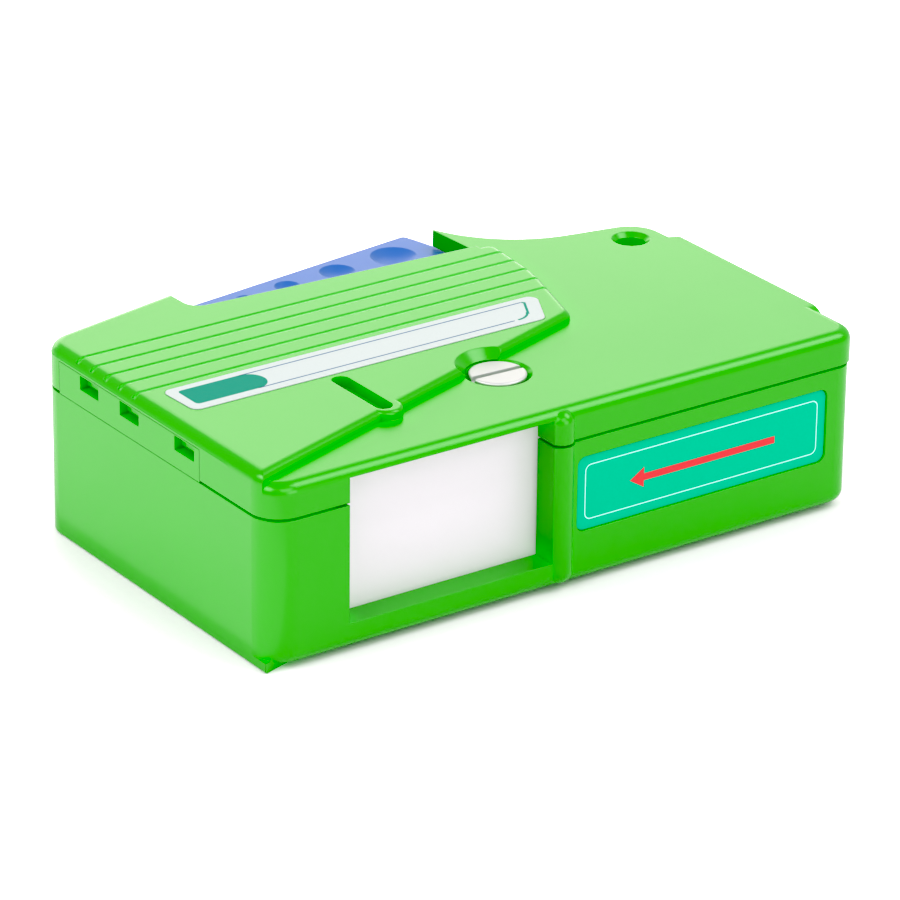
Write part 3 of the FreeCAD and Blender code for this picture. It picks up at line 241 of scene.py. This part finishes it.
# ---- side label ----
# A teal vinyl sticker with rounded corners, pressed into the shallow tray beside the
# window.  A pale outline and a red arrow are screen printed on it: the arrow shows
# which way to turn a plug over the window.
def vinyl(name, colour, roughness=0.38, cells=0.00035, gloss_index=1.35):
    """Printed vinyl film: ink density varies by 4 percent over cells 0.35 mm wide, and the
    film keeps a ripple of 0.004 mm over 6 mm from the glue.  A matt print has a low index."""
    made, tree, shader = new_material(name, IOR=gloss_index)
    where = add(tree, "TexCoord")
    ink = add(tree, "TexNoise", {"Scale": 1 / cells, "Detail": 2.0}, {"Vector": (where, "Object")})
    thin = [min(1, c * 1.04) for c in colour[:3]] + [1]
    thick = [c * 0.96 for c in colour[:3]] + [1]
    tint = add(tree, "Mix", {"data_type": "RGBA", 6: thick, 7: thin}, {0: (ink, "Fac")})
    tree.links.new(tint.outputs[2], shader.inputs["Base Color"])
    gloss = add(tree, "MapRange", {"To Min": roughness - 0.03, "To Max": roughness + 0.03},
                {"Value": (ink, "Fac")})
    tree.links.new(gloss.outputs["Result"], shader.inputs["Roughness"])
    glue = add(tree, "TexNoise", {"Scale": 1 / 0.006, "Detail": 1.0}, {"Vector": (where, "Object")})
    ripple = add(tree, "Bump", {"Strength": 1.0, "Distance": 0.000004}, {"Height": (glue, "Fac")})
    tree.links.new(ripple.outputs["Normal"], shader.inputs["Normal"])
    return made


def arc(cx, cy, rx, ry, start, stop, steps=8):
    """Points of an ellipse arc from start to stop degrees: centre plus (rx cos, ry sin)."""
    turn = np.radians(np.linspace(start, stop, steps + 1))
    return [(cx + rx * math.cos(t), cy + ry * math.sin(t)) for t in turn]


def round_box(x0, y0, x1, y1, r):
    """Closed outline of a rectangle with corners of radius r, anticlockwise."""
    return (arc(x1 - r, y1 - r, r, r, 0, 90) + arc(x0 + r, y1 - r, r, r, 90, 180)
            + arc(x0 + r, y0 + r, r, r, 180, 270) + arc(x1 - r, y0 + r, r, r, 270, 360))


def stroke(path, width, closed=False):
    """A band of that width along a path: each point moves half the width to both
    sides, along the mean of its two runs' normals stretched to keep the width."""
    p = np.array(path, float)
    ahead = np.roll(p, -1, 0) - p
    behind = p - np.roll(p, 1, 0)
    if not closed:
        ahead[-1] = behind[-1]
        behind[0] = ahead[0]
    ahead /= np.linalg.norm(ahead, axis=1)[:, None]
    behind /= np.linalg.norm(behind, axis=1)[:, None]
    normal = np.stack([-(ahead + behind)[:, 1], (ahead + behind)[:, 0]], 1)
    normal /= (normal * normal).sum(1)[:, None] / 2
    sides = np.concatenate([p + normal * width / 2, p - normal * width / 2])
    n = len(p)
    runs = range(n if closed else n - 1)
    return sides, [(i, n + i, n + (i + 1) % n, (i + 1) % n) for i in runs]


def print_on(name, drawing, lay, finish):
    """A film of ink: the drawing's flat points, in mm, are laid on the label by lay,
    and the piece rides with the housing."""
    points, faces = drawing
    mesh = bpy.data.meshes.new(name)
    mesh.from_pydata([lay(x / 1000, y / 1000) for x, y in points], [], faces)
    mesh.materials.append(finish)
    piece = bpy.data.objects.new(name, mesh)
    bpy.context.scene.collection.objects.link(piece)
    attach(piece, "housing")


paint(vinyl("teal vinyl sticker", linear("#00aa86")), "side_label")
pale_ink = vinyl("pale screen ink", linear("#a9dcd6"))
red_ink = vinyl("red screen ink", linear("#cb2449"))
side_low, side_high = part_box("side_label")
film = 0.00001


def on_side(x, z):
    """Flat drawing to the side label's face: x stays, y becomes height."""
    return (x, side_low.y - film, z)


margin, outline_corner, outline_width = 1.65, 1.1, 0.21
outline = round_box(side_low.x * 1000 + margin, side_low.z * 1000 + margin,
                    side_high.x * 1000 - margin, side_high.z * 1000 - margin, outline_corner)
print_on("side_outline", stroke(outline, outline_width, True), on_side, pale_ink)
arrow_tip, arrow_neck, arrow_tail = 10.9, 13.7, 40.1
arrow_z, arrow_head, arrow_shaft = 15.7, 1.75, 0.62
arrow = [(arrow_tip, arrow_z), (arrow_neck, arrow_z - arrow_head), (arrow_neck, arrow_z - arrow_shaft),
         (arrow_tail, arrow_z - arrow_shaft), (arrow_tail, arrow_z + arrow_shaft),
         (arrow_neck, arrow_z + arrow_shaft), (arrow_neck, arrow_z + arrow_head)]
print_on("side_arrow", (arrow, [tuple(range(len(arrow)))]), on_side, red_ink)


# ---- top label ----
# A long white vinyl sticker between the grooves and the step.  A teal field with one
# rounded end, two thin rules and a teal corner mark are printed on it; its places for
# words stay empty.
paint(vinyl("white vinyl sticker", linear("#b2b8b9"), gloss_index=1.25), "top_label")
teal_ink = vinyl("teal screen ink", linear("#02786c"), gloss_index=1.18)
rule_ink = vinyl("grey blue screen ink", linear("#213f7c"), gloss_index=1.18)
top_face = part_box("top_label")[1].z
thin_film = 0.000004


def on_top(x, y):
    """Flat drawing to the top label's face."""
    return (x, y, top_face + thin_film)


block_left, block_low, block_high = -51.0, -3.8, 2.1
block_end, block_round, block_nose = -39.5, 0.7, 2.9
middle = (block_low + block_high) / 2
turn_x = block_left + block_round
turn_low, turn_high = block_low + block_round, block_high - block_round
block = (arc(block_end, middle, block_nose, block_high - middle, -90, 90, 16)
         + arc(turn_x, turn_high, block_round, block_round, 90, 180, 5)
         + arc(turn_x, turn_low, block_round, block_round, 180, 270, 5))
print_on("top_field", (block, [tuple(range(len(block)))]), on_top, teal_ink)
rule_width, mark_width = 0.24, 0.42
rule_rear, rule_front = 2.0, -3.75
mark_turn = 10.4
mark_rise = 2.75
rear_rule = stroke([(block_end, rule_rear), (15.0, rule_rear)], rule_width)
front_rule = stroke([(block_end, rule_front), (9.7, rule_front)], rule_width)
corner = [(15.1, rule_rear), (15.45, 1.6), (13.4, -2.3)] + arc(
    mark_turn, rule_front + mark_rise, 3.2, mark_rise, -25, -90, 6)
print_on("top_rule_rear", rear_rule, on_top, rule_ink)
print_on("top_rule_front", front_rule, on_top, rule_ink)
print_on("top_corner_mark", stroke(corner, mark_width), on_top, teal_ink)


# ---- lever, sector and pawl ----
# The thumb lever is a glossy blue moulding with sunk dimples for grip.  Its toothed
# sector and its springy pawl are unpainted acetal, which is whiter and more matt.
blue_plastic = moulded("glossy blue moulding", (0.045, 0.095, 0.4), 0.4, IOR=1.52)
paint(blue_plastic, "lever")
acetal = moulded("natural acetal", linear("#ecebe4"), 0.42, drift=0.02, grain=0.000001,
                 IOR=1.48, Subsurface_Weight=0.15, Subsurface_Scale=0.001)
paint(acetal, "sector_gear", "feed_pawl", "shutter_gear", "drive_ratchet", "holding_pawl",
      "guide_roller_left", "guide_roller_right")


# ---- shutter ----
# A slide of bright white acetal that covers the window.  It is satin and lets light
# through: light spreads 4 mm inside it and comes out again nearby, and a faint white glow
# painted all over lifts its shade; together they keep its face nearly even in tone.
# Its emission is a painted white glow that lifts its shade.
satin_white = moulded("satin white acetal", linear("#b9b5b9"), 0.36, drift=0.01, grain=0.0000008,
                      IOR=1.48, Subsurface_Weight=0.85, Subsurface_Scale=0.004,
                      Subsurface_Radius=(1, 1, 1), Emission_Color=(1, 1, 1, 1), Emission_Strength=0.26)
paint(satin_white, "shutter")


# ---- mask and pad behind the window ----
# The mask is a thin black moulding with a spark-eroded grain, which is matt, and the two
# slots that a plug is drawn along.  A block of firm rubber presses the tape up against it.
black_moulding = moulded("black spark-eroded moulding", linear("#1e121f"), 0.5, grain=0.000006,
                         IOR=1.2)
paint(black_moulding, "mask_plate")
rubber = moulded("firm black rubber", linear("#2a2a2b"), 0.72, drift=0.1, grain=0.000008,
                 peel=0.000006)
paint(rubber, "backing_pad")


# ---- cleaning tape ----
# Woven microfibre ribbon, 14 mm wide and 0.2 mm thick: clean on the supply reel, greyed
# on the take-up reel.  Warp and weft show as a fine square grid and the wound edges as
# close rings.
def woven(name, colour, soil):
    """Plain weave: two crossed sine waves raise and darken the threads, 0.22 mm wide, so a
    wave repeats every 0.44 mm, which is 0.314 over its scale.  Soil noise 3 mm across
    greys the cloth by its weight."""
    made, tree, shader = new_material(name, Roughness=0.85, Sheen_Weight=0.25, Sheen_Roughness=0.4)
    where = add(tree, "TexCoord")
    crossing = 1 / 0.0014
    warp = add(tree, "TexWave", {"Scale": crossing, "Distortion": 0.3, "bands_direction": "Z"},
               {"Vector": (where, "Object")})
    weft = add(tree, "TexWave", {"Scale": crossing, "Distortion": 0.3, "bands_direction": "DIAGONAL"},
               {"Vector": (where, "Object")})
    weave = add(tree, "Math", {"operation": "MULTIPLY"}, {0: (warp, "Fac"), 1: (weft, "Fac")})
    dirt = add(tree, "TexNoise", {"Scale": 1 / 0.003, "Detail": 4.0}, {"Vector": (where, "Object")})
    dirty = add(tree, "MapRange", {"From Min": 0.45, "From Max": 0.75, "To Max": soil},
                {"Value": (dirt, "Fac")})
    shade = [c * 0.82 for c in colour[:3]] + [1]
    cloth = add(tree, "Mix", {"data_type": "RGBA", 6: shade, 7: colour}, {0: (weave, 0)})
    tint = add(tree, "Mix", {"data_type": "RGBA", 7: linear("#6f6c66")}, {0: (dirty, 0), 6: (cloth, 2)})
    tree.links.new(tint.outputs[2], shader.inputs["Base Color"])
    threads = add(tree, "Bump", {"Strength": 0.8, "Distance": 0.00004}, {"Height": (weave, 0)})
    tree.links.new(threads.outputs["Normal"], shader.inputs["Normal"])
    return made


paint(woven("clean woven ribbon", linear("#f4f4f1"), 0.0), "tape_web", "supply_roll")
paint(woven("used woven ribbon", linear("#dddcd6"), 0.5), "take_up_roll")


# ---- deck, reels ----
# The deck and the reels are plain grey mouldings that nobody sees until the screw is
# out and the cover lifts off.
deck_grey = moulded("grey polystyrene moulding", linear("#8f9194"), 0.45, grain=0.000002)
paint(deck_grey, "deck_plate")
reel_grey = moulded("light grey polystyrene moulding", linear("#a4a7ab"), 0.38, grain=0.000001)
paint(reel_grey, "supply_reel", "take_up_reel")


# ---- cover screw and metal parts ----
# The coin screw is turned from steel and nickel plated: fine rings from the tool on its
# head and a bright flash on its rim.  Pins are ground along their length, springs are
# drawn wire, and the insert is turned brass.
def metal(name, colour, roughness, centre=None, pitch=0.0001, cut=0.0000012, edge=0.00015):
    """Machined metal.

    With a centre, tool rings lie round the vertical line through it, pitch apart, and
    rise by cut; without, scratches run along Z.  Roughness varies with the marks.  A
    wave's rings lie 0.314 over its scale apart."""
    made, tree, shader = new_material(name, Metallic=1.0)
    where = add(tree, "TexCoord")
    if centre:
        placed = add(tree, "Mapping", {"Location": (-centre[0], -centre[1], 0)},
                     {"Vector": (where, "Object")})
        marks = add(tree, "TexWave", {"wave_type": "RINGS", "rings_direction": "Z",
                                      "Scale": 0.314 / pitch, "Distortion": 0.4, "Detail": 2.0},
                    {"Vector": (placed, 0)})
    else:
        placed = add(tree, "Mapping", {"Scale": (1, 1, 0.04)}, {"Vector": (where, "Object")})
        marks = add(tree, "TexNoise", {"Scale": 1 / pitch, "Detail": 3.0}, {"Vector": (placed, 0)})
    dull = [c * 0.9 for c in colour[:3]] + [1]
    tint = add(tree, "Mix", {"data_type": "RGBA", 6: dull, 7: colour}, {0: (marks, "Fac")})
    tree.links.new(tint.outputs[2], shader.inputs["Base Color"])
    gloss = add(tree, "MapRange", {"To Min": roughness * 0.8, "To Max": roughness * 1.2},
                {"Value": (marks, "Fac")})
    tree.links.new(gloss.outputs["Result"], shader.inputs["Roughness"])
    rounded = add(tree, "Bevel", {"samples": 6, "Radius": edge})
    lines = add(tree, "Bump", {"Strength": 1.0, "Distance": cut},
                {"Height": (marks, "Fac"), "Normal": (rounded, "Normal")})
    tree.links.new(lines.outputs["Normal"], shader.inputs["Normal"])
    return made


screw_low, screw_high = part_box("cover_screw")
screw_axis = (screw_low + screw_high) / 2
paint(metal("nickel plated turned steel", linear("#d2d1d2"), 0.6, screw_axis), "cover_screw")
paint(metal("zinc plated steel screws", linear("#c9ccd2"), 0.36), "deck_screws")
paint(metal("ground steel", linear("#c4c5c8"), 0.22), "lever_pin", "gear_pin", "roller_pins",
      "take_up_spindle", "supply_spindle")
paint(metal("drawn spring wire", linear("#a9abad"), 0.36), "lever_spring", "drag_spring")
paint(metal("turned brass", linear("#d9b56a"), 0.36, screw_axis), "screw_insert")
